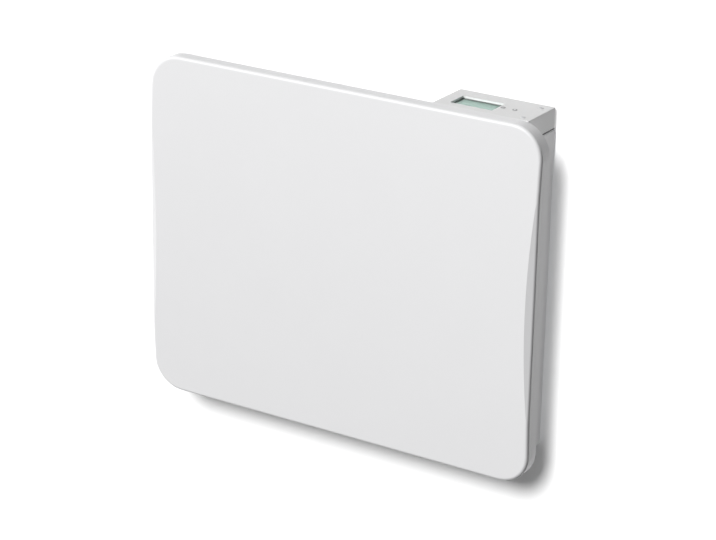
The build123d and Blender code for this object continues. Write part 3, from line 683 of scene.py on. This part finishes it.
def stage_paint(name, bounce):
    """Paper with a set bounce, which is there only from its front and hides no lamp."""
    material = new_material(name)
    even = add_node(material, "ShaderNodeEmission", Strength=bounce)
    front = add_node(
        material,
        "ShaderNodeMixShader",
        _0=seen_rays(material),
        _1=even.outputs[0],
        _2=lit_paper(material),
    )
    side = add_node(material, "ShaderNodeNewGeometry")
    ray = add_node(material, "ShaderNodeLightPath")
    clear = add_node(material, "ShaderNodeBsdfTransparent")
    one_sided = add_node(
        material,
        "ShaderNodeMixShader",
        _0=either(material, side.outputs["Backfacing"], ray.outputs["Is Shadow Ray"]),
        _1=front.outputs[0],
        _2=clear.outputs[0],
    )
    return finish_material(material, one_sided.outputs[0])


bpy.ops.object.select_all(action="DESELECT")
bpy.ops.mesh.primitive_plane_add(
    size=WALL_SIZE,
    location=(0, WALL_CLEARANCE, WALL_SIZE / 2 - FLOOR_DROP),
    rotation=(math.radians(90), 0, 0),
)
wall = bpy.context.object
wall.name = "stage_wall"
wall.data.materials.append(stage_paint("wall_paint", WALL_BOUNCE))
bpy.ops.mesh.primitive_plane_add(size=WALL_SIZE, location=(0, 0, -FLOOR_DROP))
floor = bpy.context.object
floor.name = "stage_floor"
floor.data.materials.append(stage_paint("floor_paint", FLOOR_BOUNCE))
print("stage of", WALL_SIZE, "m")

# %% [markdown]
# One broad lamp high at the left gives the face, the top and the side slopes their different
# tones, and a soft one behind shows the back. Both leave the stage out. Two more lamps light only
# the stage, a small one for the shade's shape and a wide one for its soft edge, because the
# shade in the photograph falls another way than the light on the heater. The strengths are set
# so that white paint renders about as it is written. The world is white where it is seen and
# adds no light of its own.

# %% Light
LAMPS = {
    # lamp: (direction towards it, strength, spread in degrees, what it does with the stage)
    "key": ((-0.34, -0.716, 0.47), 3.64, 40, "EXCLUDE"),
    "stage": ((0.2, -1, 0.68), 4.3, 17, "INCLUDE"),
    "stage_dome": ((0.1, -1, 0.45), 0.9, 110, "INCLUDE"),
    "back": ((0, 1, -0.05), 2.2, 60, "EXCLUDE"),
}


def far_lamp(name, direction, strength, spread, stage_state):
    """A distant lamp that leaves the stage out, or lights nothing else."""
    data = bpy.data.lights.new(name, "SUN")
    data.energy = strength
    data.angle = math.radians(spread)
    lamp = bpy.data.objects.new(name, data)
    lamp.rotation_euler = Vector(direction).to_track_quat("Z", "Y").to_euler()
    bpy.context.scene.collection.objects.link(lamp)
    receivers = bpy.data.collections.new(name + "_receivers")
    for piece in (wall, floor):
        receivers.objects.link(piece)
    for member in receivers.collection_objects:
        member.light_linking.link_state = stage_state
    lamp.light_linking.receiver_collection = receivers


for name, setup in LAMPS.items():
    far_lamp(name, *setup)
print("lamps", len(LAMPS))

world = bpy.data.worlds.new("studio")
world.use_nodes = True
sky = world.node_tree.nodes["Background"]
sky.inputs["Color"].default_value = linear("#FFFFFF")
world.node_tree.links.new(seen_rays(world), sky.inputs["Strength"])
bpy.context.scene.world = world
bpy.context.scene.view_settings.view_transform = "Standard"

# %% [markdown]
# The camera's place was worked out from the photograph's straight edges: where the lines that run
# along the width, the depth and the height meet tells how far it stood and how it was tilted.

# %% Camera
PHOTO_WIDTH = 716
SENSOR_WIDTH = 36
FOCAL_PX = 2442.08
AZIMUTH = 31.61
ELEVATION = 21.17
ROLL = 1.09
DISTANCE = 2.97673
AIM_RIGHT = 0.02683
AIM_UP = -0.00488
TARGET = Vector((0, -0.0915, 0))

azimuth = math.radians(AZIMUTH)
elevation = math.radians(ELEVATION)
forward = Vector(
    (
        -math.sin(azimuth) * math.cos(elevation),
        math.cos(azimuth) * math.cos(elevation),
        -math.sin(elevation),
    )
)
level_right = Vector((math.cos(azimuth), math.sin(azimuth), 0))
level_up = level_right.cross(forward)
roll = math.radians(ROLL)
right = math.cos(roll) * level_right + math.sin(roll) * level_up
up = -math.sin(roll) * level_right + math.cos(roll) * level_up

camera_data = bpy.data.cameras.new("camera")
camera_data.sensor_width = SENSOR_WIDTH
camera_data.lens = SENSOR_WIDTH * FOCAL_PX / PHOTO_WIDTH
camera = bpy.data.objects.new("camera", camera_data)
camera.location = TARGET - forward * DISTANCE + right * AIM_RIGHT + up * AIM_UP
basis = (right, up, -forward)
camera.rotation_euler = Matrix([[axis[row] for axis in basis] for row in range(3)]).to_euler()
bpy.context.scene.collection.objects.link(camera)
bpy.context.scene.camera = camera
print("lens", round(camera_data.lens, 1), "mm")
